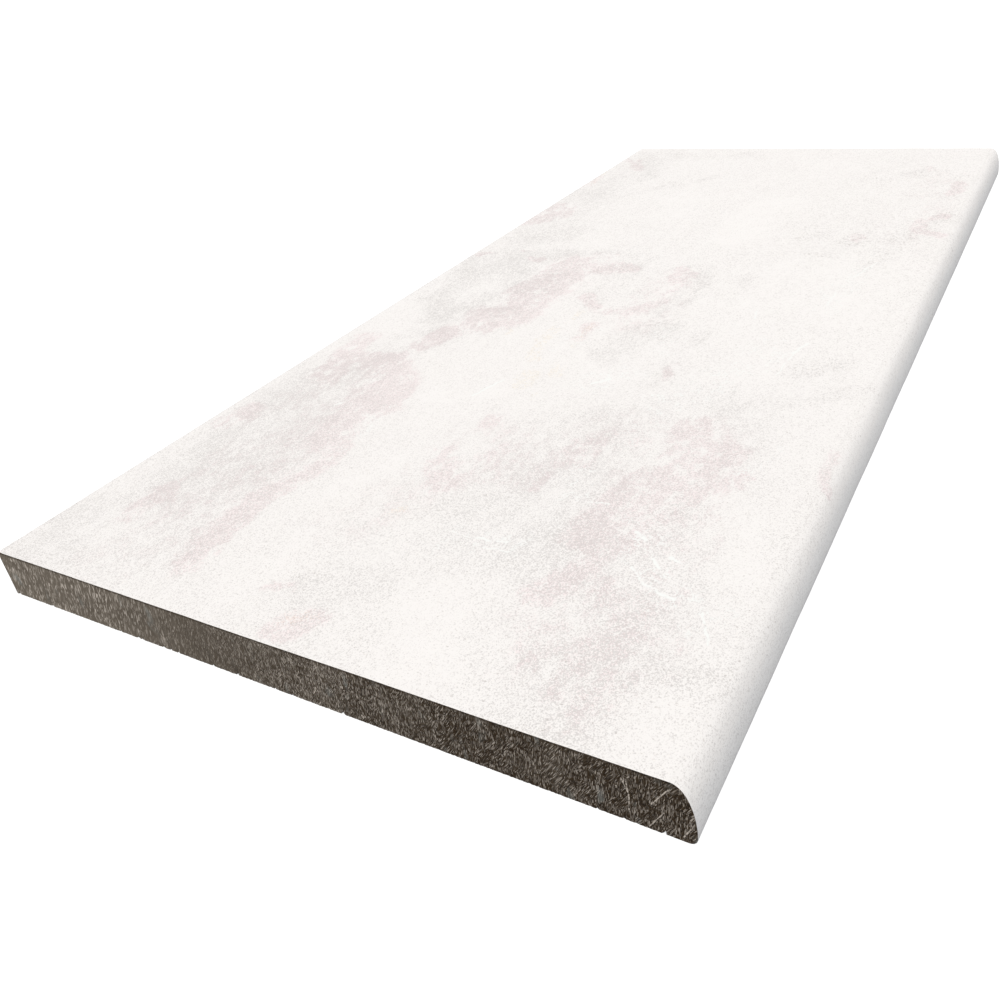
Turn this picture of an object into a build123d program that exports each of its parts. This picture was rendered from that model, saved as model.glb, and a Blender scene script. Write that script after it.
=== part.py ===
from build123d import *
import os

# One stair tread tile: a pressed and fired slab with a profiled nose along its
# front edge, square sawn ends, and a keyed underside that is bedded on adhesive.
# X runs along the nosing, the nose faces -Y, and Z is up. The origin is the
# middle of the underside. All sizes are in millimetres.

# Outline of the slab
TREAD_LENGTH = 750.0  # along the nosing, between the sawn ends
TREAD_DEPTH = 330.0  # from the front of the nose to the back edge
THICKNESS = 24.0

# Nose: a quarter ellipse from the walking face down to a small rounded foot
NOSE_RUN = 8.5  # how far the rounding reaches back into the walking face
NOSE_FOOT_RADIUS = 3.0  # rounded lower edge under the ellipse

# Back edge: the upper corner is eased, so that it doesn't chip against the riser
BACK_EASING = 1.0

# Keyed underside: shallow square pockets with sloping walls, and ribs between
NOSE_LAND = 36.0  # plain strip under the nose, where the riser below meets it
EDGE_LAND = 12.0  # plain border along the back edge and at both ends
KEY_SIZE = 28.0  # side of one pocket at its mouth
KEY_RIB = 6.0  # least width of the rib between two pockets
KEY_DEPTH = 0.8
KEY_WALL_SLOPE = 45.0  # degrees that a pocket's wall leans in from upright

FRONT = -TREAD_DEPTH / 2
BACK = TREAD_DEPTH / 2


def tread_section():
    """The outline of the slab seen from its end, with the nose at the left."""
    with BuildSketch(Plane.YZ) as section:
        with BuildLine():
            nose_top = (FRONT + NOSE_RUN, THICKNESS)
            nose_front = (FRONT, NOSE_FOOT_RADIUS)
            foot_end = (FRONT + NOSE_FOOT_RADIUS, 0)
            EllipticalCenterArc(
                center=(FRONT + NOSE_RUN, NOSE_FOOT_RADIUS),
                x_radius=NOSE_RUN,
                y_radius=THICKNESS - NOSE_FOOT_RADIUS,
                start_angle=90,
                arc_size=90,
            )
            CenterArc(
                center=(FRONT + NOSE_FOOT_RADIUS, NOSE_FOOT_RADIUS),
                radius=NOSE_FOOT_RADIUS,
                start_angle=180,
                arc_size=90,
            )
            Polyline(
                foot_end,
                (BACK, 0),
                (BACK, THICKNESS - BACK_EASING),
            )
            RadiusArc(
                (BACK, THICKNESS - BACK_EASING),
                (BACK - BACK_EASING, THICKNESS),
                -BACK_EASING,
            )
            Line((BACK - BACK_EASING, THICKNESS), nose_top)
        make_face()
    return section.sketch


def keys_that_fit(room):
    """How many pockets, with a rib between each two, fit along a length."""
    return int((room + KEY_RIB) // (KEY_SIZE + KEY_RIB))


def key_pockets():
    """The pockets of the underside, as the solids that are cut away."""
    room_along = TREAD_LENGTH - 2 * EDGE_LAND
    room_across = TREAD_DEPTH - NOSE_LAND - EDGE_LAND
    columns = keys_that_fit(room_along)
    rows = keys_that_fit(room_across)
    pitch_along = (room_along + KEY_RIB) / columns
    pitch_across = (room_across + KEY_RIB) / rows
    field_middle = (FRONT + NOSE_LAND + BACK - EDGE_LAND) / 2
    with BuildPart() as pockets:
        with BuildSketch(Plane.XY):
            with Locations((0, field_middle)):
                with GridLocations(pitch_along, pitch_across, columns, rows):
                    Rectangle(KEY_SIZE, KEY_SIZE)
        extrude(amount=KEY_DEPTH, taper=KEY_WALL_SLOPE)
    return pockets.part


def tread_tile():
    """The whole tile as one fired piece."""
    slab = extrude(tread_section(), amount=TREAD_LENGTH / 2, both=True)
    return slab - key_pockets()


os.makedirs("parts", exist_ok=True)
tile = tread_tile()
export_step(tile, "parts/tread_tile.step")
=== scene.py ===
import math

import bpy
import numpy as np
from mathutils import Matrix, Vector, noise
from mathutils.geometry import delaunay_2d_cdt


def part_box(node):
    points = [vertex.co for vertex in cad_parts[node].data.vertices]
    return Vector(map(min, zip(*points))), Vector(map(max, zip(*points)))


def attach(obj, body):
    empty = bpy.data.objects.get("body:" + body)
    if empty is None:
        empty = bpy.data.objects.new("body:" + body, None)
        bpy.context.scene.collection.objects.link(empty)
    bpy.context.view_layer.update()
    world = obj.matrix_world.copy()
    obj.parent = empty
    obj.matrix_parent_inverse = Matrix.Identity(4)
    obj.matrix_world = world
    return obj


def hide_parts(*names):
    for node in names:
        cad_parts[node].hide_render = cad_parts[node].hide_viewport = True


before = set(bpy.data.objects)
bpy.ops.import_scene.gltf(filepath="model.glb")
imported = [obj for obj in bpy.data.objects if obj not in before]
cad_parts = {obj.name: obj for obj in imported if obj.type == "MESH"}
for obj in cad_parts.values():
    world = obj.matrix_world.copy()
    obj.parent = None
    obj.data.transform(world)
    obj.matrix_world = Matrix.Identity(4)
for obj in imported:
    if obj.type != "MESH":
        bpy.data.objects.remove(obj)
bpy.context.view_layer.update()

MM = 0.001

# A set start for the noise that moves the outlines of the painted strokes, which the clock would choose
noise.seed_set(1)

# The slab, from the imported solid: X along the nosing, the nose at -Y, the underside at z = 0
LEFT, FRONT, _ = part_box("tread_tile")[0]
RIGHT, BACK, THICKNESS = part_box("tread_tile")[1]

# Its section, as the solid has it
NOSE_RUN = 8.5 * MM
FOOT_RADIUS = 3.0 * MM
BACK_EASING = 1.0 * MM

# The keys pressed into the underside, as the solid has them
NOSE_LAND = 36.0 * MM
EDGE_LAND = 12.0 * MM
KEY_SIZE = 28.0 * MM
KEY_RIB = 6.0 * MM
KEY_DEPTH = 0.8 * MM

# How finely the skin is divided
ALONG_STEPS = 300  # along the nosing
FACE_STEPS = 132  # over the walking face, front to back
NOSE_STEPS = 16
FOOT_STEPS = 5
EASING_STEPS = 3
EDGE_STEPS = 6  # down the back edge
ARRIS_PITCH = 0.5 * MM  # along the broken lower edges of the sawn ends
CHIP_BAND = 1.6 * MM  # how far a chip may reach into the end and the underside
SHARP_FROM = math.radians(30)  # a steeper bend in the skin than this looks sharp
SAME_PLACE = 1e-7  # points nearer to each other than this are one point to the filler
INSIDE_ONLY = 1  # tells the filler to keep no triangle outside its outline

# Depths of the real relief, all pressed inwards from the solid's faces
SWELL_DEPTH = 0.22 * MM  # long soft waves of the walking face
DIMPLE_DEPTH = 0.10 * MM  # small pits and wrinkles between them
CHIP_DEPTH = 0.9 * MM  # the deepest chips of the lower edges

# Waves per metre of the relief, along the nosing and over the section
SWELL_WAVES = (11, 17)
WRINKLE_WAVES = (60, 95)
PIT_WAVES = (210, 240)

# Waves per metre of the chips, along their edge
NIBBLE_WAVES = 1300
BITE_WAVES = 450
CRUMBLING_WAVES = 30
LIFT_WAVES = 700

# The relief fades in over this length of the section, up from the underside at the nose, and starts to fade
# out this far before the section's end
FOOT_FADE = FOOT_RADIUS + 2 * MM
BACK_FADE = 30 * MM

# The photograph's camera
CAMERA_PLACE = (-0.54402, -0.22673, 0.23773)
CAMERA_LOOKS_ALONG = (0.70237, 0.47765, -0.52775)
CAMERA_UP = (0.51006, 0.17942, 0.84122)
FOCAL_LENGTH = 33.27
SENSOR_WIDTH = 36.0


def spaced(start, end, steps):
    """Evenly spaced values from start to end, both included."""
    return [start + (end - start) * k / steps for k in range(steps + 1)]


def smooth_step(low, high, value):
    """0 below low, 1 above high, and a soft S between."""
    t = min(1.0, max(0.0, (value - low) / (high - low)))
    return t * t * (3 - 2 * t)


# Shape of the tile


def section_line():
    """Points (y, z) from the underside up the nose, back over the face and down the back edge."""
    quarter = math.pi / 2
    foot = [
        (FRONT + FOOT_RADIUS * (1 - math.sin(a)), FOOT_RADIUS * (1 - math.cos(a)))
        for a in spaced(0, quarter, FOOT_STEPS)
    ]
    nose_rise = THICKNESS - FOOT_RADIUS
    nose_curve = [
        (FRONT + NOSE_RUN * (1 - math.cos(a)), FOOT_RADIUS + nose_rise * math.sin(a))
        for a in spaced(0, quarter, NOSE_STEPS)
    ]
    face = [(y, THICKNESS) for y in spaced(FRONT + NOSE_RUN, BACK - BACK_EASING, FACE_STEPS)]
    easing = [
        (BACK - BACK_EASING * (1 - math.sin(a)), THICKNESS - BACK_EASING * (1 - math.cos(a)))
        for a in spaced(0, quarter, EASING_STEPS)
    ]
    edge = [(BACK, z) for z in spaced(THICKNESS - BACK_EASING, 0, EDGE_STEPS)]
    return foot + nose_curve[1:] + face[1:] + easing[1:] + edge[1:]


def unrolled(line):
    """The distance along the section from its first point, for each point."""
    run = [0.0]
    for before, after in zip(line, line[1:]):
        run.append(run[-1] + math.dist(before, after))
    return run


def outward(line, k):
    """The direction (y, z) that points out of the section at its k-th point."""
    before = line[max(k - 1, 0)]
    after = line[min(k + 1, len(line) - 1)]
    along = Vector((after[0] - before[0], after[1] - before[1])).normalized()
    return Vector((-along.y, along.x))


def rippled(x, run, waves, layer):
    """A place in the noise. Each kind of relief has its own waves per metre and its own layer."""
    return Vector((x * waves[0], run * waves[1], layer))


def press_depth(x, run):
    """How far the walking face and nose lie inside the solid's surface, at a place on them."""
    swell = noise.fractal(rippled(x, run, SWELL_WAVES, 3.1), 0.9, 2.1, 3)
    wrinkle = noise.ridged_multi_fractal(rippled(x, run, WRINKLE_WAVES, 8.4), 0.9, 2.0, 3, 1.0, 2.0)
    fine = noise.noise(rippled(x, run, PIT_WAVES, 1.7))
    soft = SWELL_DEPTH * smooth_step(-0.7, 0.7, swell)
    pits = DIMPLE_DEPTH * (0.5 * smooth_step(0.9, 2.0, wrinkle) + 0.5 * smooth_step(-0.2, 0.9, fine))
    return soft + pits


def relief_share(run, whole):
    """How much of that depth is kept at a run along the section, whose whole length is given too."""
    return smooth_step(0.0, FOOT_FADE, run) * smooth_step(whole - THICKNESS, whole - BACK_FADE, run)


def chipping(place, waves, seed, layer):
    """Noise along a broken edge, at a distance along it."""
    return noise.noise(Vector((place * waves, seed, layer)))


def chip_depth(place, seed):
    """How deep the broken edge is at a distance along it: a crisp line with sharp nicks here and there."""
    nibble = abs(chipping(place, NIBBLE_WAVES, seed, 0.3))
    bite = chipping(place, BITE_WAVES, seed, 5.9)
    crumbling = chipping(place, CRUMBLING_WAVES, seed, 2.2)
    nick = smooth_step(0.34, 0.42, bite + 0.3 * crumbling)
    sound_foot = smooth_step(FRONT + FOOT_RADIUS, FRONT + 4 * FOOT_RADIUS, place)
    return CHIP_DEPTH * sound_foot * min(1.0, 0.28 * nibble + nick * (0.3 + nibble))


class Skin:
    """Collects the points and faces of one closed skin. pressed_place keeps x and the run along the section
    for each point of the glaze."""

    def __init__(self):
        self.points = []
        self.faces = []
        self.finish_of_face = []
        self.pressed_place = {}

    def point(self, x, y, z):
        self.points.append((x, y, z))
        return len(self.points) - 1

    def face(self, corners, finish):
        self.faces.append(corners)
        self.finish_of_face.append(finish)


GLAZED, RAW = 0, 1


def wrap_upper_skin(skin):
    """The nose, walking face and back edge as one grid of quads. Gives back its point numbers."""
    line = section_line()
    run = unrolled(line)
    first_glazed = FOOT_STEPS // 2
    last_glazed = FOOT_STEPS + NOSE_STEPS + FACE_STEPS + 1
    numbers = []
    for x in spaced(LEFT, RIGHT, ALONG_STEPS):
        row = []
        for k, (y, z) in enumerate(line):
            depth = press_depth(x, run[k]) * relief_share(run[k], run[-1])
            out = outward(line, k)
            row.append(skin.point(x, y - out.x * depth, z - out.y * depth))
            if first_glazed <= k <= last_glazed:
                skin.pressed_place[row[-1]] = (x, run[k])
        numbers.append(row)
    for here, there in zip(numbers, numbers[1:]):
        for k in range(len(line) - 1):
            finish = GLAZED if first_glazed <= k < last_glazed else RAW
            skin.face((here[k], there[k], there[k + 1], here[k + 1]), finish)
    return numbers


def broken_arris(skin, x, inward, seed):
    """The lower edge of a sawn end, from back to nose, with its chips. Gives back its point numbers."""
    steps = round((BACK - FRONT - FOOT_RADIUS) / ARRIS_PITCH)
    numbers = []
    for y in spaced(BACK, FRONT + FOOT_RADIUS, steps)[1:-1]:
        depth = chip_depth(y, seed)
        up = depth * (0.4 + 0.4 * smooth_step(-0.5, 0.5, chipping(y, LIFT_WAVES, seed, 9.2)))
        numbers.append(skin.point(x + inward * depth, y, up))
    return numbers


def fill_flat(skin, outline, loose, place, facing_up, edges=(), keep=None):
    """Fills a flat outline with triangles, with loose points inside it. place gives each point's two
    coordinates on the flat, edges are sides that stay whole, and keep says whether the middle of a triangle
    belongs to the sheet."""
    numbers = outline + loose
    order = {n: k for k, n in enumerate(numbers)}
    flat = [Vector(place[n]) for n in numbers]
    kept_edges = [(order[a], order[b]) for a, b in edges]
    ring = [list(range(len(outline)))]
    _, _, triangles, origin, _, _ = delaunay_2d_cdt(flat, kept_edges, ring, INSIDE_ONLY, SAME_PLACE)
    for triangle in triangles:
        corners = [numbers[origin[c][0]] for c in triangle]
        middle = sum((Vector(place[n]) for n in corners), Vector((0, 0))) / 3
        if keep is None or keep(middle):
            skin.face(tuple(corners) if facing_up else tuple(reversed(corners)), RAW)


def close_end(skin, profile, arris, x, facing_plus_x):
    """Closes one sawn end between the section line and its broken lower edge."""
    row_above = spaced(BACK - CHIP_BAND, FRONT + FOOT_RADIUS, len(arris) // 2)
    whole = [skin.point(x, y, CHIP_BAND) for y in row_above]
    place = {n: skin.points[n][1:] for n in profile + whole}
    place.update({n: (skin.points[n][1], 0.0) for n in arris})
    fill_flat(skin, profile + arris, whole, place, facing_plus_x)


def key_rows():
    """The low corner of each key along x and along y."""
    corners = []
    for low, high in ((LEFT + EDGE_LAND, RIGHT - EDGE_LAND), (FRONT + NOSE_LAND, BACK - EDGE_LAND)):
        room = high - low + KEY_RIB
        count = int(room // (KEY_SIZE + KEY_RIB))
        pitch = room / count
        corners.append([low + pitch * k + (pitch - KEY_RIB - KEY_SIZE) / 2 for k in range(count)])
    return corners


def press_key(skin, x, y):
    """One key: a shallow pan with walls at 45 degrees. Gives back the point numbers of its mouth."""
    mouth = [(x, y), (x + KEY_SIZE, y), (x + KEY_SIZE, y + KEY_SIZE), (x, y + KEY_SIZE)]
    middle = Vector((x + KEY_SIZE / 2, y + KEY_SIZE / 2))
    shrink = 1 - 2 * KEY_DEPTH / KEY_SIZE
    rim = [skin.point(a, b, 0.0) for a, b in mouth]
    floor = [skin.point(*(middle + (Vector(c) - middle) * shrink), KEY_DEPTH) for c in mouth]
    for k in range(4):
        after = (k + 1) % 4
        skin.face((rim[k], floor[k], floor[after], rim[after]), RAW)
    skin.face(tuple(reversed(floor)), RAW)
    return rim


def close_underside(skin, numbers, left_arris, right_arris):
    """The bedding face with its keys, closed against the nose's foot, the back edge and both ends."""
    front_row = [row[0] for row in numbers]
    back_row = [row[-1] for row in numbers]
    outline = front_row + right_arris[::-1] + back_row[::-1] + left_arris
    columns, rows = key_rows()
    rims = [press_key(skin, x, y) for x in columns for y in rows]
    band = [
        skin.point(x, y, 0.0)
        for x in (LEFT + 1.5 * CHIP_BAND, RIGHT - 1.5 * CHIP_BAND)
        for y in spaced(BACK - 2 * CHIP_BAND, FRONT + FOOT_RADIUS + CHIP_BAND, len(left_arris) // 2)
    ]
    loose = band + [n for rim in rims for n in rim]
    place = {n: skin.points[n][:2] for n in front_row + back_row + loose}
    place.update({n: (LEFT, skin.points[n][1]) for n in left_arris})
    place.update({n: (RIGHT, skin.points[n][1]) for n in right_arris})
    rim_edges = [(rim[k], rim[(k + 1) % 4]) for rim in rims for k in range(4)]

    def is_land(middle):
        in_a_column = any(x < middle.x < x + KEY_SIZE for x in columns)
        in_a_row = any(y < middle.y < y + KEY_SIZE for y in rows)
        return not (in_a_column and in_a_row)

    fill_flat(skin, outline, loose, place, False, rim_edges, is_land)


def shape_tile():
    """The whole tile as one closed skin."""
    skin = Skin()
    numbers = wrap_upper_skin(skin)
    left_arris = broken_arris(skin, LEFT, 1, 2.0)
    right_arris = broken_arris(skin, RIGHT, -1, 7.0)
    close_end(skin, numbers[0], left_arris, LEFT, False)
    close_end(skin, numbers[-1], right_arris, RIGHT, True)
    close_underside(skin, numbers, left_arris, right_arris)
    return skin


def make_tile(skin, finishes):
    """The tile as one object, with the glaze and the raw body on their own faces."""
    mesh = bpy.data.meshes.new("stair_tread")
    mesh.from_pydata(skin.points, [], skin.faces)
    for finish in finishes:
        mesh.materials.append(finish)
    mesh.polygons.foreach_set("material_index", skin.finish_of_face)
    mesh.polygons.foreach_set("use_smooth", [True] * len(skin.faces))
    mesh.set_sharp_from_angle(angle=SHARP_FROM)
    mesh.update()
    piece = bpy.data.objects.new("stair_tread", mesh)
    bpy.context.scene.collection.objects.link(piece)
    return piece


# Finishes

STUDIO_LIGHT = 1.33  # how much brighter than its own colour a level face shows
SIDE_LIGHT = 0.70  # the same, for the upright left end


def from_screen(red, green, blue, light=STUDIO_LIGHT):
    """The surface colour that shows as these screen values, from 0 to 255, in the studio's light."""
    linear = [((value / 255 + 0.055) / 1.055) ** 2.4 for value in (red, green, blue)]
    return (*[value / light for value in linear], 1.0)


# The glaze from its palest print to its darkest grain: a place on the scale, and the colour there
GLAZE_TONES = [
    (0.0, from_screen(255, 251, 248)),
    (0.25, from_screen(250, 245.5, 242.5)),
    (0.5, from_screen(243, 238.5, 235.5)),
    (0.75, from_screen(235, 230.5, 227.5)),
    (1.0, from_screen(225, 220.5, 217.5)),
]
MAUVE_WASH = (1.0, 0.942, 0.955, 1.0)
OCHRE_WASH = (1.0, 0.975, 0.93, 1.0)
# Painted cool shade: the tint laid down the front of the nose
NOSE_PAINTED_COOL_SHADE = (0.98, 0.99, 1.0, 1.0)
BEND_PAINTED_SHADE = (0.945, 0.945, 0.945, 1.0)  # painted shade: the glaze is painted a little darker over the bend into the nose
VEIN_WHITE = from_screen(255, 255, 252)
WORN_GREY = from_screen(214, 207, 203)
SPECK_BROWN = from_screen(176, 165, 158)

BODY_DARK = from_screen(28, 19, 10, SIDE_LIGHT)
BODY_BROWN = from_screen(49, 37, 22, SIDE_LIGHT)
BODY_HAZE = from_screen(103, 94, 83, SIDE_LIGHT)
SAW_GREY = from_screen(186, 175, 163, SIDE_LIGHT)
COOL_GREY = from_screen(138, 141, 137, SIDE_LIGHT)

# The size of the glaze's marks
WANDER_SIZE = 30 * MM
MOTTLE_SIZE = 22 * MM
STREAK_SIZE = 8 * MM
CREASE_SIZE = 5.5 * MM
SMEAR_SIZE = 5 * MM
WORN_SIZE = 2.4 * MM
SAND_SIZE = 1.2 * MM

# The size of the raw body's marks
PATCH_SIZE = 18 * MM
COOL_SIZE = 8 * MM
LEAN_SIZE = 6 * MM
VEIL_SIZE = 4 * MM
TOOTH_SIZE = 0.8 * MM

# Grains per metre: the glaze's at the left and at the right, and the body's
NEAR_GRAINS = 1600.0
FAR_GRAINS = 900.0
BODY_GRAINS = 1500.0

# Where a change along the tile, over its nose or under its glaze begins, and where it is full
GRAIN_COARSENS = (-300 * MM, 100 * MM)
# Painted light: where the glaze starts to be painted paler towards the right end, and where it is palest
PAINTED_LIGHT_TOWARDS_RIGHT = (-250 * MM, 250 * MM)
# Where the painted cool shade down the nose's front begins, and where it is full
COOL_SHADE_DOWN_FRONT = (THICKNESS - 7 * MM, THICKNESS - 12 * MM)
# The painted shade over the bend into the nose fades in from the face side and from the front side
BEND_SHADE_FROM_FACE = (FRONT + 10 * MM, FRONT + 8 * MM)
BEND_SHADE_FROM_FRONT = (FRONT + 4.5 * MM, FRONT + 7 * MM)
BELOW_GLAZE = (THICKNESS - 0.4 * MM, THICKNESS - 1.8 * MM)

# How each painted colour breaks up: how far the breakup reaches into it, and how soft its edge is
RAGGED_EDGES = {"taupe": (1.7, 0.5), "blush": (3.4, 0.5), "pale": (-2.0, 0.45), "ochre": (3.0, 0.45)}

# The saw's strokes: how many degrees they lean from upright, their width and their length
UPRIGHT_STROKES = (-3, 0.17 * MM, 1.3 * MM)
LEANING_STROKES = (-32, 0.17 * MM, 1.9 * MM)
COARSE_STROKES = (-15, 0.42 * MM, 2.4 * MM)


def put(tree, kind, fed=None, **settings):
    """Adds a node. fed gives its inputs: a socket is wired in, and anything else is set on it."""
    made = tree.nodes.new(kind)
    for name, value in settings.items():
        setattr(made, name, value)
    for name, value in (fed or {}).items():
        if isinstance(value, bpy.types.NodeSocket):
            tree.links.new(value, made.inputs[name])
        else:
            made.inputs[name].default_value = value
    return made


def maths(tree, operation, *values):
    """The result of a Math node on these values."""
    return put(tree, "ShaderNodeMath", dict(enumerate(values)), operation=operation).outputs["Value"]


def added(tree, below, value, weight, middle=0.5):
    """below, with a value added that swings about its middle, times its weight."""
    swing = maths(tree, "SUBTRACT", value, middle)
    return maths(tree, "MULTIPLY_ADD", swing, weight, below)


def vector(tree, operation, *values):
    """The result of a Vector Math node on these vectors."""
    return put(tree, "ShaderNodeVectorMath", dict(enumerate(values)), operation=operation)


def stretched(tree, place, along):
    """A place with its three directions multiplied by along."""
    return vector(tree, "MULTIPLY", place, along).outputs["Vector"]


def clouded(tree, place, size, detail=4.0, coarse=0.55):
    """Noise whose largest lumps are about size across, in metres."""
    fed = {"Vector": place, "Scale": 1 / size, "Detail": detail, "Roughness": coarse}
    return put(tree, "ShaderNodeTexNoise", fed).outputs["Fac"]


def wandered(tree, place, size, reach):
    """A place pushed about by noise, so that what is drawn there gets a wandering outline."""
    fed = {"Vector": place, "Scale": 1 / size, "Detail": 3.0}
    push = put(tree, "ShaderNodeTexNoise", fed).outputs["Color"]
    pushed = vector(tree, "MULTIPLY_ADD", push, (reach,) * 3, (-reach / 2,) * 3).outputs["Vector"]
    return vector(tree, "ADD", place, pushed).outputs["Vector"]


def ramped(tree, value, low, high, from_value=0.0, to_value=1.0):
    """from_value below low and to_value above high, with a soft passage between."""
    fed = {"Value": value, "From Min": low, "From Max": high, "To Min": from_value, "To Max": to_value}
    return put(tree, "ShaderNodeMapRange", fed, interpolation_type="SMOOTHSTEP").outputs["Result"]


def between(tree, share, low, high):
    """A value that goes straight from low to high as share goes from 0 to 1."""
    return put(tree, "ShaderNodeMapRange", {"Value": share, "To Min": low, "To Max": high}).outputs["Result"]


def laid_over(tree, below, above, share, blend="MIX"):
    """The colour above on the colour below, as far as share says."""
    made = put(tree, "ShaderNodeMix", data_type="RGBA", blend_type=blend)
    sockets = {s.identifier: s for s in made.inputs}
    for identifier, value in (("Factor_Float", share), ("A_Color", below), ("B_Color", above)):
        if isinstance(value, bpy.types.NodeSocket):
            tree.links.new(value, sockets[identifier])
        else:
            sockets[identifier].default_value = value
    return next(s for s in made.outputs if s.identifier == "Result_Color")


def toned(tree, value, tones):
    """The colour that a value picks from a scale of tones."""
    made = put(tree, "ShaderNodeValToRGB", {"Fac": value})
    stops = made.color_ramp.elements
    while len(stops) < len(tones):
        stops.new(1.0)
    for stop, (place, colour) in zip(stops, tones):
        stop.position = place
        stop.color = colour
    return made.outputs["Color"]


def painted(tree, name):
    """A share that was painted on the skin's points."""
    return put(tree, "ShaderNodeAttribute", attribute_name=name).outputs["Fac"]


def new_group(name, inputs, outputs):
    """An empty node group with named sockets, and its input and output nodes."""
    group = bpy.data.node_groups.new(name, "ShaderNodeTree")
    for socket, kind in inputs.items():
        group.interface.new_socket(socket, in_out="INPUT", socket_type=kind)
    for socket, kind in outputs.items():
        group.interface.new_socket(socket, in_out="OUTPUT", socket_type=kind)
    return group, group.nodes.new("NodeGroupInput"), group.nodes.new("NodeGroupOutput")


def make_grain_group():
    """Salt-and-pepper grain: crisp grains, each with its own random value, and a finer sand over them.
    Tint is a second random value of each grain, and Specks gives the few grains that stand out."""
    group, given, gives = new_group(
        "fired grain",
        {"Place": "NodeSocketVector", "Grains per metre": "NodeSocketFloat"},
        {"Grain": "NodeSocketFloat", "Tint": "NodeSocketFloat", "Specks": "NodeSocketFloat"},
    )
    place, count = given.outputs["Place"], given.outputs["Grains per metre"]
    cells = put(group, "ShaderNodeTexVoronoi", {"Vector": place, "Scale": count})
    chance = put(group, "ShaderNodeSeparateColor", {"Color": cells.outputs["Color"]}).outputs
    sand_fed = {"Vector": place, "Scale": maths(group, "MULTIPLY", count, 1.4), "Detail": 0.0}
    sand = put(group, "ShaderNodeTexNoise", sand_fed).outputs["Fac"]
    grain = added(group, maths(group, "MULTIPLY_ADD", chance["Red"], 0.6, 0.2), sand, 1.5)
    group.links.new(grain, gives.inputs["Grain"])
    group.links.new(chance["Green"], gives.inputs["Tint"])
    group.links.new(ramped(group, chance["Blue"], 0.994, 0.996), gives.inputs["Specks"])
    return group


def make_ragged_group():
    """A painted share with a ragged edge and gaps: Reach says how strongly Breakup raises and lowers it."""
    group, given, gives = new_group(
        "ragged edge",
        {name: "NodeSocketFloat" for name in ("Share", "Breakup", "Reach", "Softness")},
        {"Mask": "NodeSocketFloat"},
    )
    swing = maths(group, "SUBTRACT", given.outputs["Breakup"], 0.5)
    raised = maths(group, "MULTIPLY_ADD", swing, given.outputs["Reach"], 1.0)
    moved = maths(group, "MULTIPLY", given.outputs["Share"], raised)
    low = maths(group, "SUBTRACT", 0.5, given.outputs["Softness"])
    high = maths(group, "ADD", 0.5, given.outputs["Softness"])
    group.links.new(ramped(group, moved, low, high), gives.inputs["Mask"])
    return group


def make_vein_group():
    """One vein: 1 on the line that starts at From and goes on by Run, and 0 past its half width."""
    group, given, gives = new_group(
        "vein",
        {
            "Place": "NodeSocketVector",
            "From": "NodeSocketVector",
            "Run": "NodeSocketVector",
            "Half width": "NodeSocketFloat",
        },
        {"Mask": "NodeSocketFloat"},
    )
    run = given.outputs["Run"]
    offset = vector(group, "SUBTRACT", given.outputs["Place"], given.outputs["From"]).outputs["Vector"]
    reached = vector(group, "DOT_PRODUCT", offset, run).outputs["Value"]
    whole = vector(group, "DOT_PRODUCT", run, run).outputs["Value"]
    share = maths(group, "DIVIDE", reached, whole)
    share = put(group, "ShaderNodeClamp", {"Value": share}).outputs["Result"]
    nearest = put(group, "ShaderNodeVectorMath", {0: run, "Scale": share}, operation="SCALE")
    away = vector(group, "DISTANCE", offset, nearest.outputs["Vector"]).outputs["Value"]
    inner = maths(group, "MULTIPLY", given.outputs["Half width"], 0.3)
    group.links.new(ramped(group, away, inner, given.outputs["Half width"], 1.0, 0.0), gives.inputs["Mask"])
    return group


fired_grain = make_grain_group()
ragged_edge = make_ragged_group()
vein = make_vein_group()


def use_group(tree, group, fed):
    """A group placed in a material with its own values. Gives back its outputs."""
    return put(tree, "ShaderNodeGroup", fed, node_tree=group).outputs


def new_finish(name):
    """A new material, with its node tree and its main shader."""
    finish = bpy.data.materials.new(name)
    finish.use_nodes = True
    tree = finish.node_tree
    return finish, tree, tree.nodes["Principled BSDF"]


# The pale veins of the glaze: the half width, and the two ends along and across the tile, all in
# millimetres. Across counts from the back edge (165) to the nose (-165), here and in the strokes below.
VEINS = [
    (0.8, (-284, -106), (-292, -114)),
    (1.2, (-292, -114), (-297, -128)),
    (1.7, (-262, -99), (-266, -104)),
    (1.0, (-277, -111), (-281, -116)),
    (1.1, (-276, -124), (-273, -118)),
    (0.8, (-300, -139), (-315, -147)),
    (0.8, (-288, -38), (-287, -52)),
    (0.6, (-293, -44), (-292, -57)),
    (0.6, (-248, -70), (-246, -80)),
    (1.6, (-141, -22), (-134, -29)),
    (0.7, (-106, -110), (-76, -112)),
    (1.5, (-78, -111), (-64, -115)),
    (0.7, (-12, -112), (16, -112)),
    (0.8, (44, -116), (72, -124)),
    (1.2, (-172, 34), (-150, 27)),
    (0.8, (-36, -78), (-20, -74)),
    (0.9, (-205, 104), (-196, 99)),
]


def drawn_lines(tree, place, lines, laid_out):
    """Every line of a list as one mask. laid_out gives the place on the tile of a line's end."""
    mask = None
    for half_width, *ends in lines:
        start, end = (Vector(laid_out(a * MM, b * MM)) for a, b in ends)
        fed = {"Place": place, "From": start, "Run": end - start, "Half width": half_width * MM}
        one = use_group(tree, vein, fed)["Mask"]
        mask = maths(tree, "MAXIMUM", mask, one) if mask else one
    return mask


def veined(tree, place):
    """Every vein of the list, with a trembling line and broken into short lengths."""
    trembling = wandered(tree, wandered(tree, place, 6 * MM, 4 * MM), 1.4 * MM, 1.2 * MM)
    lines = drawn_lines(tree, trembling, VEINS, lambda x, across: (x, across, THICKNESS))
    return maths(tree, "MULTIPLY", lines, ramped(tree, clouded(tree, place, 4 * MM, 2.0), 0.26, 0.40))


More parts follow.
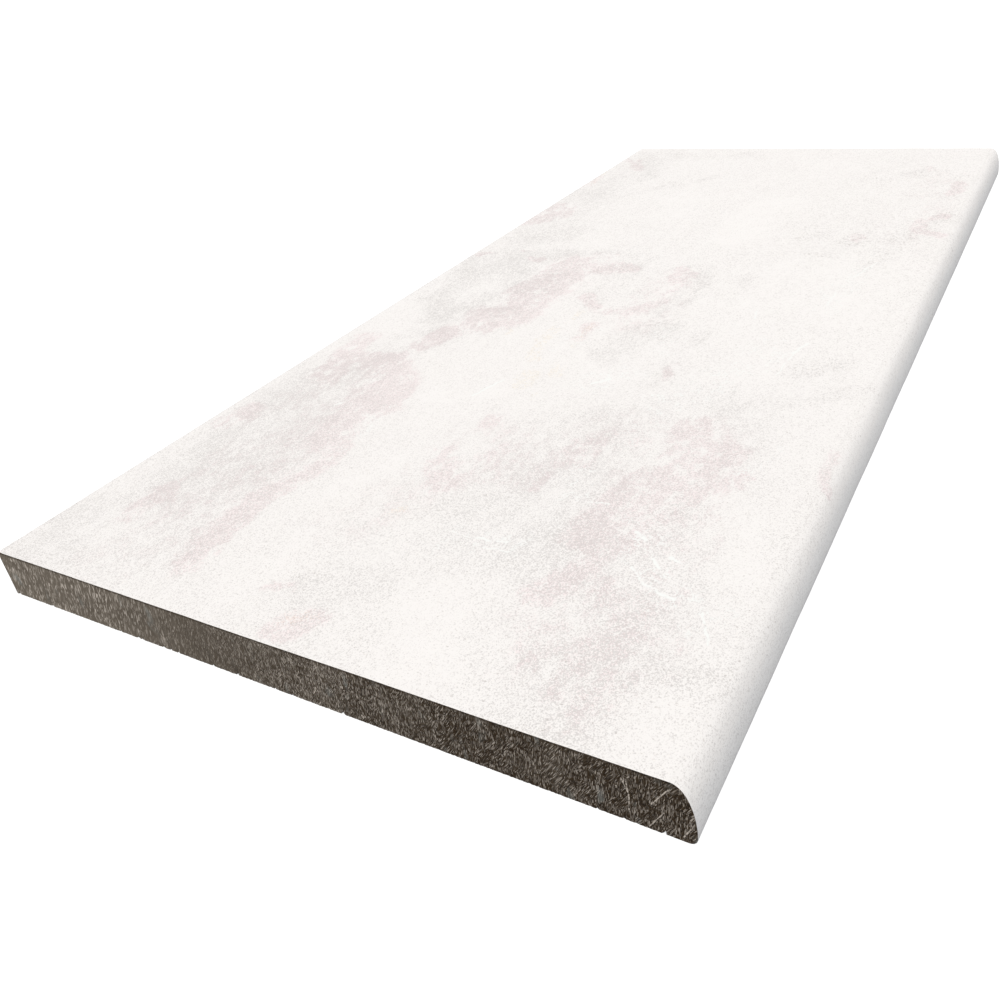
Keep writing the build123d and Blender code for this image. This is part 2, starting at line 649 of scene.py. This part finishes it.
def crackled(tree, place, smear):
    """Fine pale cracks where the glaze is painted as cracked, broken up by the smear."""
    from_middle = maths(tree, "SUBTRACT", clouded(tree, place, CREASE_SIZE, 3.0, 0.6), 0.5)
    crease = ramped(tree, maths(tree, "ABSOLUTE", from_middle), 0.034, 0.012)
    broken = maths(tree, "MULTIPLY", crease, ramped(tree, smear, 0.46, 0.56))
    return maths(tree, "MULTIPLY", broken, painted(tree, "crack"))


def worn_specks(tree, place):
    """Small grey specks where the glaze is painted as worn."""
    drawn_out = stretched(tree, place, (0.6, 1.0, 1.0))
    specks = ramped(tree, clouded(tree, drawn_out, WORN_SIZE, 3.0, 0.7), 0.57, 0.64)
    return maths(tree, "MULTIPLY", specks, painted(tree, "worn"))


def shaded_nose(tree, colour, position):
    """The colour of the glaze with painted shade on the nose: a little darker over the bend into the nose and
    cooler down its front.
    """
    # Painted cool shade: the glaze is tinted cooler down the front of the nose
    painted_cool_shade = ramped(tree, position["Z"], *COOL_SHADE_DOWN_FRONT)
    colour = laid_over(tree, colour, NOSE_PAINTED_COOL_SHADE, painted_cool_shade, "MULTIPLY")
    # Painted shade: the glaze is painted darker over the bend into the nose
    bend_shade_before_face = ramped(tree, position["Y"], *BEND_SHADE_FROM_FACE)
    bend_shade_behind_front = ramped(tree, position["Y"], *BEND_SHADE_FROM_FRONT)
    painted_bend_shade = maths(tree, "MULTIPLY", bend_shade_before_face, bend_shade_behind_front)
    return laid_over(tree, colour, BEND_PAINTED_SHADE, painted_bend_shade, "MULTIPLY")


def make_glazed_face():
    """Matte stone-look glaze: warm white, with taupe clouds, mauve and ochre washes, specks and veins."""
    finish, tree, shader = new_finish("matte stone-look glaze")
    place = put(tree, "ShaderNodeTexCoord").outputs["Object"]
    position = put(tree, "ShaderNodeSeparateXYZ", {"Vector": place}).outputs
    wandering = wandered(tree, stretched(tree, place, (0.6, 1.0, 1.0)), WANDER_SIZE, 12 * MM)
    mottle = clouded(tree, wandering, MOTTLE_SIZE, 7.0, 0.62)
    smear = clouded(tree, wandering, SMEAR_SIZE, 4.0, 0.6)
    streaks = clouded(tree, stretched(tree, wandering, (0.16, 1.0, 1.0)), STREAK_SIZE, 3.0, 0.6)
    breakup = added(tree, mottle, smear, 1.1)
    near_grains = use_group(tree, fired_grain, {"Place": place, "Grains per metre": NEAR_GRAINS})
    far_grains = use_group(tree, fired_grain, {"Place": place, "Grains per metre": FAR_GRAINS})
    far = ramped(tree, position["X"], *GRAIN_COARSENS)

    def grain_value(name):
        """A value of the grains, which are finer at the left end than at the right."""
        return between(tree, far, near_grains[name], far_grains[name])

    def spread(name):
        """The mask of one painted colour, with a broken outline."""
        reach, softness = RAGGED_EDGES[name]
        fed = {"Share": painted(tree, name), "Breakup": breakup, "Reach": reach, "Softness": softness}
        return use_group(tree, ragged_edge, fed)["Mask"]

    tint = grain_value("Tint")
    taupe = spread("taupe")
    blush = spread("blush")
    pale = spread("pale")
    # Painted light: the glaze's tone starts paler towards the right end
    tone = ramped(tree, position["X"], *PAINTED_LIGHT_TOWARDS_RIGHT, 0.09, 0.0)
    for mark, weight, middle in (
        (mottle, 0.4, 0.5),
        (smear, 0.28, 0.5),
        (streaks, 0.3, 0.5),
        (taupe, 0.56, 0.0),
        (blush, 0.34, 0.0),
        (pale, -0.12, 0.0),
    ):
        tone = added(tree, tone, mark, weight, middle)
    contrast = added(tree, 1.75, taupe, 0.5, 0.0)
    contrast = added(tree, contrast, pale, -0.5, 0.0)
    swing = maths(tree, "SUBTRACT", grain_value("Grain"), 0.5)
    tone = maths(tree, "MULTIPLY_ADD", swing, contrast, tone)
    colour = toned(tree, tone, GLAZE_TONES)

    granular = maths(tree, "MULTIPLY", blush, ramped(tree, tint, 0.0, 1.0, 0.4, 1.7))
    colour = laid_over(tree, colour, MAUVE_WASH, ramped(tree, granular, 0.05, 1.1), "MULTIPLY")
    sandy = added(tree, spread("ochre"), tint, 1.6)
    colour = laid_over(tree, colour, OCHRE_WASH, ramped(tree, sandy, 0.6, 1.2), "MULTIPLY")
    colour = laid_over(tree, colour, WORN_GREY, maths(tree, "MULTIPLY", worn_specks(tree, place), 0.85))
    colour = laid_over(tree, colour, SPECK_BROWN, maths(tree, "MULTIPLY", near_grains["Specks"], 0.35))
    cracks = maths(tree, "MULTIPLY", crackled(tree, place, smear), 0.9)
    colour = laid_over(tree, colour, VEIN_WHITE, maths(tree, "MAXIMUM", cracks, veined(tree, place)))
    colour = shaded_nose(tree, colour, position)

    sand = clouded(tree, place, SAND_SIZE, 3.0, 0.7)
    bump = put(tree, "ShaderNodeBump", {"Height": sand, "Strength": 0.3, "Distance": 0.08 * MM})
    tree.links.new(colour, shader.inputs["Base Color"])
    tree.links.new(ramped(tree, mottle, 0.3, 0.7, 0.5, 0.66), shader.inputs["Roughness"])
    tree.links.new(bump.outputs["Normal"], shader.inputs["Normal"])
    return finish


# The longest scratches on the left end: the half width, and the two ends across and above the
# underside, all in millimetres
SCRATCHES = [
    (0.30, (-142.5, 18.0), (-143.3, 11.0)),
    (0.35, (-143.3, 11.0), (-143.0, 4.5)),
    (0.25, (-141.0, 18.5), (-143.0, 13.0)),
    (0.30, (-155.9, 20.5), (-153.3, 16.2)),
    (0.25, (-153.3, 16.2), (-150.4, 11.5)),
    (0.25, (-154.4, 9.7), (-149.5, 1.0)),
    (0.35, (-162.7, 6.5), (-160.5, 2.0)),
    (0.40, (-139.2, 14.3), (-139.3, 13.7)),
]


def saw_strokes(tree, place, lean, width, length):
    """Short straight strokes on any upright face, each with its own random strength."""
    turned = {"Vector": place, "Angle": math.radians(lean)}
    leaning = put(tree, "ShaderNodeVectorRotate", turned, rotation_type="X_AXIS").outputs["Vector"]
    drawn = stretched(tree, leaning, (1 / width, 1 / width, 1 / length))
    cells = put(tree, "ShaderNodeTexVoronoi", {"Vector": drawn, "Scale": 1.0}).outputs["Color"]
    return put(tree, "ShaderNodeSeparateColor", {"Color": cells}).outputs["Red"]


def hatched(tree, place, bent, towards_back):
    """All the saw's strokes: fine ones that lean one way or the other, and coarser ones towards the back."""
    leaning = ramped(tree, clouded(tree, place, LEAN_SIZE, 2.0), 0.53, 0.55)
    upright = saw_strokes(tree, bent, *UPRIGHT_STROKES)
    fine = between(tree, leaning, upright, saw_strokes(tree, bent, *LEANING_STROKES))
    coarse = saw_strokes(tree, bent, *COARSE_STROKES)
    strokes = between(tree, ramped(tree, towards_back, 0.3, 0.8), fine, coarse)
    return maths(tree, "MULTIPLY", maths(tree, "POWER", strokes, 5.0), 1.1)


def make_raw_body():
    """The dark fired body where no glaze covers it, hatched all over by the saw."""
    finish, tree, shader = new_finish("raw dark body")
    place = put(tree, "ShaderNodeTexCoord").outputs["Object"]
    bent = wandered(tree, place, 4 * MM, 0.2 * MM)
    patches = clouded(tree, place, PATCH_SIZE, 4.0, 0.6)
    streaks = clouded(tree, stretched(tree, place, (1.0, 1.0, 0.3)), VEIL_SIZE, 3.0, 0.6)
    grain = use_group(tree, fired_grain, {"Place": place, "Grains per metre": BODY_GRAINS})["Grain"]
    height = put(tree, "ShaderNodeSeparateXYZ", {"Vector": place}).outputs["Z"]
    below_glaze = ramped(tree, height, *BELOW_GLAZE, 0.25, 1.0)
    towards_back = ramped(tree, painted(tree, "haze"), 0.1, 1.1)

    fed = {"Share": towards_back, "Breakup": patches, "Reach": 1.2, "Softness": 0.5}
    haze = maths(tree, "MULTIPLY", use_group(tree, ragged_edge, fed)["Mask"], below_glaze)
    veil = maths(tree, "MULTIPLY", ramped(tree, patches, 0.45, 0.75), ramped(tree, streaks, 0.35, 0.65))
    colour = laid_over(tree, BODY_DARK, BODY_BROWN, ramped(tree, grain, 0.2, 0.7))
    colour = laid_over(tree, colour, BODY_HAZE, haze)
    colour = laid_over(tree, colour, BODY_HAZE, maths(tree, "MULTIPLY", veil, 0.3))

    strength = maths(tree, "MULTIPLY", ramped(tree, streaks, 0.3, 0.7, 0.7, 1.1), below_glaze)
    strength = maths(tree, "MULTIPLY", strength, ramped(tree, towards_back, 0.0, 0.3, 0.78, 1.1))
    strokes = maths(tree, "MULTIPLY", hatched(tree, place, bent, towards_back), strength)
    colour = laid_over(tree, colour, SAW_GREY, strokes)
    scratches = drawn_lines(tree, bent, SCRATCHES, lambda across, up: (LEFT, across, up))
    scratches = maths(tree, "MULTIPLY", scratches, ramped(tree, grain, 0.1, 0.7))
    colour = laid_over(tree, colour, SAW_GREY, scratches)
    drawn_out = stretched(tree, place, (1.0, 1.0, 0.45))
    cool = ramped(tree, clouded(tree, drawn_out, COOL_SIZE, 3.0), 0.60, 0.72)
    colour = laid_over(tree, colour, COOL_GREY, maths(tree, "MULTIPLY", cool, 0.3))

    tooth = clouded(tree, stretched(tree, place, (1.0, 1.0, 0.4)), TOOTH_SIZE, 2.0)
    bump = put(tree, "ShaderNodeBump", {"Height": tooth, "Strength": 0.5, "Distance": 0.15 * MM})
    shader.inputs["Roughness"].default_value = 0.85
    shader.inputs["Specular IOR Level"].default_value = 0.12
    tree.links.new(colour, shader.inputs["Base Color"])
    tree.links.new(bump.outputs["Normal"], shader.inputs["Normal"])
    return finish


# Where the glaze's colours gather, as brush strokes: the half width, the strength, and the
# points that the stroke follows along and across the tile, in millimetres
TAUPE_STROKES = [
    (40, 0.35, [(-375, 120), (-290, 120)]),
    (34, 0.62, [(-285, 125), (-175, 130)]),
    (22, 0.40, [(-375, 150), (-340, 155)]),
    (16, 0.35, [(-240, 140), (-195, 140)]),
    (22, 0.30, [(-345, 84), (-200, 88)]),
    (9, 0.45, [(-312, 124), (-302, 122)]),
    (12, 0.40, [(-165, 112), (-140, 118)]),
    (16, 0.30, [(-105, 118), (-75, 122)]),
    (15, 0.50, [(-72, 122), (-45, 138), (0, 138)]),
    (26, 0.66, [(18, 142), (42, 128)]),
    (13, 0.50, [(20, 112), (50, 112)]),
    (16, 0.40, [(-4, 124), (42, 122)]),
    (11, 0.35, [(-66, 108), (-42, 100)]),
    (14, 0.50, [(44, 110), (60, 98)]),
    (20, 0.36, [(-40, 158), (40, 160)]),
    (12, 0.40, [(-12, 96), (-18, 78), (8, 80)]),
    (30, 0.38, [(-130, 112), (-80, 88), (-30, 82), (35, 86)]),
    (20, 0.30, [(-60, 114), (5, 112)]),
    (8, 0.35, [(-58, 88), (-48, 74)]),
    (9, 0.45, [(60, 90), (63, 55), (56, 20)]),
    (34, 0.48, [(90, 135), (200, 138)]),
    (14, 0.35, [(86, 148), (92, 115), (112, 104)]),
    (32, 0.50, [(225, 138), (345, 136)]),
    (9, 0.50, [(262, 114), (290, 122)]),
    (9, 0.45, [(298, 128), (328, 138)]),
    (9, 0.50, [(234, 90), (248, 82)]),
    (8, 0.40, [(256, 62), (274, 56)]),
    (26, 0.24, [(345, 95), (352, 40)]),
    (7, 0.40, [(346, 56), (356, 50)]),
    (14, 0.45, [(-345, 8), (-332, -12)]),
    (30, 0.42, [(-285, -40), (-245, -25), (-190, -40)]),
    (12, 0.30, [(-235, -35), (-205, -52)]),
    (24, 0.36, [(-180, -60), (-150, -85)]),
    (30, 0.16, [(-150, -30), (-100, -60)]),
    (19, 0.42, [(-300, -68), (-215, -72)]),
    (25, 0.46, [(-375, -112), (-310, -108), (-280, -95)]),
    (22, 0.26, [(-270, -95), (-195, -98)]),
    (12, 0.45, [(-338, -122), (-334, -155)]),
    (18, 0.28, [(-300, -130), (-240, -118)]),
    (16, 0.30, [(-210, -130), (-165, -115)]),
    (24, 0.18, [(-140, -110), (-110, -135)]),
    (10, 0.38, [(-98, -118), (-84, -135)]),
    (8, 0.32, [(-146, -104), (-132, -140), (-110, -158)]),
    (18, 0.46, [(-104, -14), (-60, -30)]),
    (6, 0.40, [(-84, -56), (-66, -56)]),
    (9, 0.34, [(-136, -56), (-110, -55)]),
    (10, 0.52, [(-38, -16), (-16, -26), (26, -24), (44, -14)]),
    (7, 0.35, [(12, -52), (42, -52)]),
    (24, 0.30, [(-30, 18), (25, 22)]),
    (9, 0.50, [(24, 50), (46, 36), (40, 24)]),
    (34, 0.12, [(110, -85), (330, -90)]),
    (10, 0.32, [(106, -100), (124, -106)]),
    (8, 0.35, [(112, -62), (124, -78)]),
    (6, 0.45, [(82, -84), (86, -94)]),
    (12, 0.34, [(62, -118), (96, -128)]),
    (12, 0.38, [(120, -128), (180, -150)]),
    (12, 0.25, [(225, -140), (275, -150)]),
    (11, 0.50, [(288, -106), (304, -124)]),
    (9, 0.35, [(268, -76), (276, -90)]),
]
BLUSH_STROKES = [
    (38, 0.34, [(-345, 100), (-190, 115)]),
    (40, 0.38, [(-335, -110), (-190, -95)]),
    (30, 0.40, [(-60, 72), (40, 66)]),
    (24, 0.32, [(-240, -20), (-180, -50)]),
    (26, 0.32, [(-60, -10), (20, -8)]),
    (26, 0.24, [(120, -130), (290, -135)]),
    (26, 0.26, [(-300, 20), (-210, 0)]),
    (14, 0.9, [(130, 158), (150, 146), (170, 150)]),
    (7, 0.8, [(236, 160), (265, 162)]),
    (7, 0.55, [(292, 134), (322, 146), (330, 160)]),
    (9, 0.8, [(-242, 152), (-222, 150)]),
    (12, 0.8, [(-170, 134), (-150, 142), (-122, 146)]),
    (9, 0.9, [(-150, 140), (-144, 110)]),
    (15, 0.95, [(-232, 82), (-195, 84), (-165, 94), (-150, 108)]),
    (11, 0.6, [(-196, 70), (-164, 80)]),
    (8, 0.8, [(-348, 70), (-310, 76), (-280, 71), (-240, 67)]),
    (8, 0.7, [(-328, 130), (-308, 126)]),
    (12, 0.75, [(-122, 103), (-90, 95), (-62, 90)]),
    (15, 0.75, [(-84, 82), (-68, 68), (-40, 70)]),
    (11, 1.0, [(-45, 72), (-15, 66), (12, 66), (38, 74)]),
    (13, 0.55, [(-22, 86), (15, 86), (38, 76)]),
    (13, 0.7, [(34, 46), (36, 32)]),
    (6, 0.8, [(36, 112), (38, 104)]),
    (5, 0.6, [(58, 128), (62, 122)]),
    (5, 0.6, [(40, 158), (44, 152)]),
    (8, 0.9, [(-254, -2), (-230, 15)]),
    (4, 0.7, [(-205, 8), (-194, 8)]),
    (7, 0.55, [(-20, 36), (-42, 20), (-42, 0), (-30, -12), (-10, -9)]),
    (9, 0.75, [(10, -14), (38, -10)]),
    (11, 0.6, [(-218, -46), (-202, -50)]),
    (4, 0.5, [(-244, -40), (-236, -42)]),
    (6, 0.7, [(-312, -79), (-300, -83), (-276, -92)]),
    (15, 0.72, [(-268, -86), (-235, -88), (-205, -102), (-188, -108)]),
    (6, 0.7, [(-226, -110), (-210, -130)]),
    (7, 0.6, [(-182, -92), (-166, -90)]),
    (5, 0.55, [(-128, -57), (-110, -54)]),
    (7, 0.6, [(112, -101), (118, -102)]),
    (5, 0.9, [(134, -150), (140, -140), (165, -137), (178, -147)]),
    (6, 0.7, [(230, -145), (262, -148)]),
    (4, 0.8, [(302, -121), (310, -121)]),
    (9, 0.8, [(-368, 0), (-358, -4)]),
    (4, 0.6, [(-352, 24), (-346, 14)]),
    (4, 0.6, [(-206, -160), (-178, -158)]),
    (6, 0.6, [(-86, 11), (-66, 12)]),
]
OCHRE_STROKES = [
    (7, 0.75, [(-156, 14), (-138, 16)]),
    (6, 0.70, [(-122, 24), (-104, 30)]),
    (6, 0.80, [(-94, 31), (-78, 32)]),
    (4, 0.75, [(-64, 28), (-52, 27)]),
    (5, 0.65, [(-140, 2), (-126, 8)]),
    (4, 0.60, [(-98, 12), (-66, 10)]),
    (3, 0.60, [(-166, -2), (-160, 0)]),
    (4, 0.60, [(-92, 54), (-86, 56)]),
    (4, 0.7, [(-362, 2), (-356, -2)]),
    (4, 0.8, [(248, 158), (282, 164)]),
    (3, 0.7, [(-280, 8), (-274, 6)]),
]
PALE_STROKES = [
    (24, 1.0, [(115, -22), (150, -15), (190, -28)]),
    (18, 0.8, [(-368, -62), (-330, -42)]),
    (9, 0.8, [(-176, 56), (-166, 20)]),
    (3.5, 0.7, [(-94, 20), (-118, -8), (-138, -34)]),
    (4, 0.9, [(-62, 53), (-10, 53)]),
    (5, 0.8, [(-66, 152), (-54, 168)]),
    (10, 0.6, [(72, 82), (112, 76)]),
    (20, 0.6, [(150, 55), (200, 50)]),
    (12, 0.5, [(-362, -150), (-348, -140)]),
    (12, 0.6, [(-268, -142), (-222, -124)]),
    (32, 0.6, [(-20, -118), (60, -122)]),
    (22, 0.5, [(-10, -75), (60, -80)]),
    (4, 0.6, [(-268, 155), (-264, 128)]),
    (18, 0.4, [(-350, 35), (-200, 40)]),
    (3, 0.7, [(14, 98), (45, 86), (56, 62)]),
    (20, 0.4, [(290, -60), (320, -40)]),
    (9, 0.5, [(-34, 108), (-10, 107)]),
]
WORN_STROKES = [
    (12, 0.7, [(238, 92), (250, 80), (266, 60)]),
    (7, 0.8, [(350, 54), (358, 40)]),
    (6, 0.9, [(82, -80), (84, -92)]),
    (9, 1.0, [(106, -96), (122, -108)]),
    (6, 0.8, [(112, -58), (126, -76)]),
    (5, 0.8, [(65, -118), (92, -128)]),
    (7, 0.9, [(120, -125), (150, -143), (185, -148)]),
    (6, 0.8, [(270, -95), (278, -78)]),
    (8, 1.0, [(288, -106), (306, -118)]),
    (7, 1.0, [(222, -145), (250, -142), (285, -150)]),
    (6, 0.8, [(292, -130), (262, -126)]),
    (50, 0.30, [(110, -100), (330, -90)]),
    (14, 0.55, [(100, -52), (128, -66)]),
    (10, 0.6, [(-96, -116), (-80, -138)]),
    (12, 0.5, [(-66, -24), (-84, -54)]),
    (24, 0.25, [(-20, -100), (70, -132)]),
    (14, 0.3, [(40, -150), (110, -156)]),
]
CRACKED_STROKES = [
    (9, 0.9, [(-190, -66), (-165, -70), (-150, -62)]),
    (8, 0.9, [(-246, -62), (-226, -56)]),
    (7, 0.8, [(-205, -128), (-180, -132)]),
    (16, 1.0, [(-262, -98), (-285, -118), (-300, -135)]),
    (10, 0.8, [(-294, -30), (-288, -56)]),
    (12, 0.9, [(-141, -20), (-128, -34)]),
    (16, 0.8, [(-150, -70), (-110, -90), (-70, -100)]),
    (12, 0.7, [(-10, -112), (70, -120)]),
    (10, 0.6, [(-100, 20), (-70, 5)]),
    (8, 0.7, [(-240, 66), (-200, 70)]),
    (10, 0.6, [(-60, -30), (-90, -45)]),
]


# How the strokes lose their smooth outlines, in millimetres: the size of the bends along and across the tile,
# how far they move a point each way, and the layer of noise that they come from
BENDS = [((40, 30), (7, 5), 0.7), ((12, 9), (4, 3), 4.4)]
STROKE_RIM = 1.35  # a stroke fades to nothing at this many half widths from its line


def roamed(x, across):
    """A place in millimetres, pushed about by the bends."""
    moved_x, moved_across = x, across
    for size, reach, layer in BENDS:
        push = noise.noise_vector(Vector((x / size[0], across / size[1], layer)))
        moved_x += reach[0] * push.x
        moved_across += reach[1] * push.y
    return moved_x, moved_across


def away_from(x, across, start, end):
    """How far points are from a straight line between two points."""
    run_x, run_across = end[0] - start[0], end[1] - start[1]
    reached = (x - start[0]) * run_x + (across - start[1]) * run_across
    share = np.clip(reached / (run_x**2 + run_across**2), 0, 1)
    return np.hypot(x - start[0] - share * run_x, across - start[1] - share * run_across)


def brushed(x, across, strokes):
    """How much these strokes together cover a point. x and across are arrays, in millimetres."""
    share = np.zeros(len(x))
    for half_width, strength, line in strokes:
        away = np.min([away_from(x, across, a, b) for a, b in zip(line, line[1:])], axis=0)
        fall = np.clip(STROKE_RIM - away / half_width, 0, 1)
        share = 1 - (1 - share) * (1 - strength * fall * fall * (3 - 2 * fall))
    return share


def paint_skin(mesh, skin):
    """Paints the shares that the finishes read on the skin's points."""
    face_top = unrolled(section_line())[FOOT_STEPS + NOSE_STEPS]
    pressed = sorted(skin.pressed_place)
    places = []
    for n in pressed:
        x, run = skin.pressed_place[n]
        across = FRONT + NOSE_RUN + run - face_top
        places.append(roamed(x / MM, across / MM))
    x, across = np.array(places).T
    for name, strokes in (
        ("taupe", TAUPE_STROKES),
        ("blush", BLUSH_STROKES),
        ("ochre", OCHRE_STROKES),
        ("pale", PALE_STROKES),
        ("worn", WORN_STROKES),
        ("crack", CRACKED_STROKES),
    ):
        share = np.zeros(len(skin.points), np.float32)
        share[pressed] = brushed(x, across, strokes)
        mesh.attributes.new(name, "FLOAT", "POINT").data.foreach_set("value", share)
    points = np.array(skin.points)
    towards_back = (points[:, 1] - FRONT) / (BACK - FRONT)
    mesh.attributes.new("haze", "FLOAT", "POINT").data.foreach_set("value", towards_back.astype(np.float32))


skin = shape_tile()
tile = make_tile(skin, [make_glazed_face(), make_raw_body()])
paint_skin(tile.data, skin)
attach(tile, "root")
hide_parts("tread_tile")


# Studio

LIGHT_COMES_FROM = (-0.35, -0.39, 1.0)  # above the left end of the nose
LIGHT_STRENGTH = 2.68
LIGHT_WIDTH = math.radians(40)  # how wide its patch of sky looks from the tile
LIGHT_COLOUR = (1.0, 0.99, 0.98)
ROOM_STRENGTH = 0.555
ROOM_COLOUR = (0.98, 0.995, 1.0, 1.0)
WHITE = (1.0, 1.0, 1.0, 1.0)
FLOOR_REACH = 60.0  # in metres, so that its edge stays out of sight
FLOOR_COLOUR = (0.4, 0.4, 0.4, 1.0)
FLOOR_GLOW = 0.66
FLOOR_BOUNCE = (0.22, 0.24, 0.265, 1.0)  # the grey that the tile sees in place of the glow


def lay_floor():
    """A white sweep under the tile. It glows for the camera, so that the tile's shadow stays faint."""
    finish, tree, shader = new_finish("white sweep")
    shader.inputs["Base Color"].default_value = FLOOR_COLOUR
    shader.inputs["Roughness"].default_value = 1.0
    shader.inputs["Specular IOR Level"].default_value = 0.0
    shader.inputs["Emission Color"].default_value = WHITE
    shader.inputs["Emission Strength"].default_value = FLOOR_GLOW
    bounce = put(tree, "ShaderNodeBsdfDiffuse", {"Color": FLOOR_BOUNCE}).outputs["BSDF"]
    seen = put(tree, "ShaderNodeLightPath").outputs["Is Camera Ray"]
    mixed = put(tree, "ShaderNodeMixShader", {0: seen, 1: bounce, 2: shader.outputs["BSDF"]})
    tree.links.new(mixed.outputs["Shader"], tree.nodes["Material Output"].inputs["Surface"])
    corners = [(a * FLOOR_REACH, b * FLOOR_REACH, 0) for a, b in ((-1, -1), (1, -1), (1, 1), (-1, 1))]
    mesh = bpy.data.meshes.new("studio_floor")
    mesh.from_pydata(corners, [], [(0, 1, 2, 3)])
    mesh.materials.append(finish)
    floor = bpy.data.objects.new("studio_floor", mesh)
    bpy.context.scene.collection.objects.link(floor)


def hang_sky_light(name, comes_from, strength, width, colour):
    """A soft light from a round patch of sky, as wide as an angle says, about one direction."""
    lamp = bpy.data.lights.new(name, "SUN")
    lamp.energy = strength
    lamp.angle = width
    lamp.color = colour
    hung = bpy.data.objects.new(name, lamp)
    hung.rotation_mode = "QUATERNION"
    hung.rotation_quaternion = Vector(comes_from).to_track_quat("Z", "Y")
    bpy.context.scene.collection.objects.link(hung)


def fill_room():
    """Even light from the whole room, whose walls look white by themselves and in reflections."""
    room = bpy.data.worlds.new("studio")
    room.use_nodes = True
    tree = room.node_tree
    path = put(tree, "ShaderNodeLightPath").outputs
    seen = maths(tree, "MAXIMUM", path["Is Camera Ray"], path["Is Glossy Ray"])
    fill = tree.nodes["Background"]
    tree.links.new(laid_over(tree, ROOM_COLOUR, WHITE, seen), fill.inputs["Color"])
    tree.links.new(between(tree, seen, ROOM_STRENGTH, 1.0), fill.inputs["Strength"])
    bpy.context.scene.world = room


lay_floor()
hang_sky_light("above the nose", LIGHT_COMES_FROM, LIGHT_STRENGTH, LIGHT_WIDTH, LIGHT_COLOUR)
fill_room()
bpy.context.scene.view_settings.view_transform = "Standard"


def set_camera():
    """The photograph's camera."""
    lens = bpy.data.cameras.new("photograph")
    lens.lens = FOCAL_LENGTH
    lens.sensor_width = SENSOR_WIDTH
    lens.clip_start = 0.01
    camera = bpy.data.objects.new("photograph", lens)
    back = -Vector(CAMERA_LOOKS_ALONG).normalized()
    up = Vector(CAMERA_UP).normalized()
    right = up.cross(back).normalized()
    up = back.cross(right)
    camera.matrix_world = Matrix.Translation(CAMERA_PLACE) @ Matrix((right, up, back)).transposed().to_4x4()
    bpy.context.scene.collection.objects.link(camera)
    bpy.context.scene.camera = camera


set_camera()
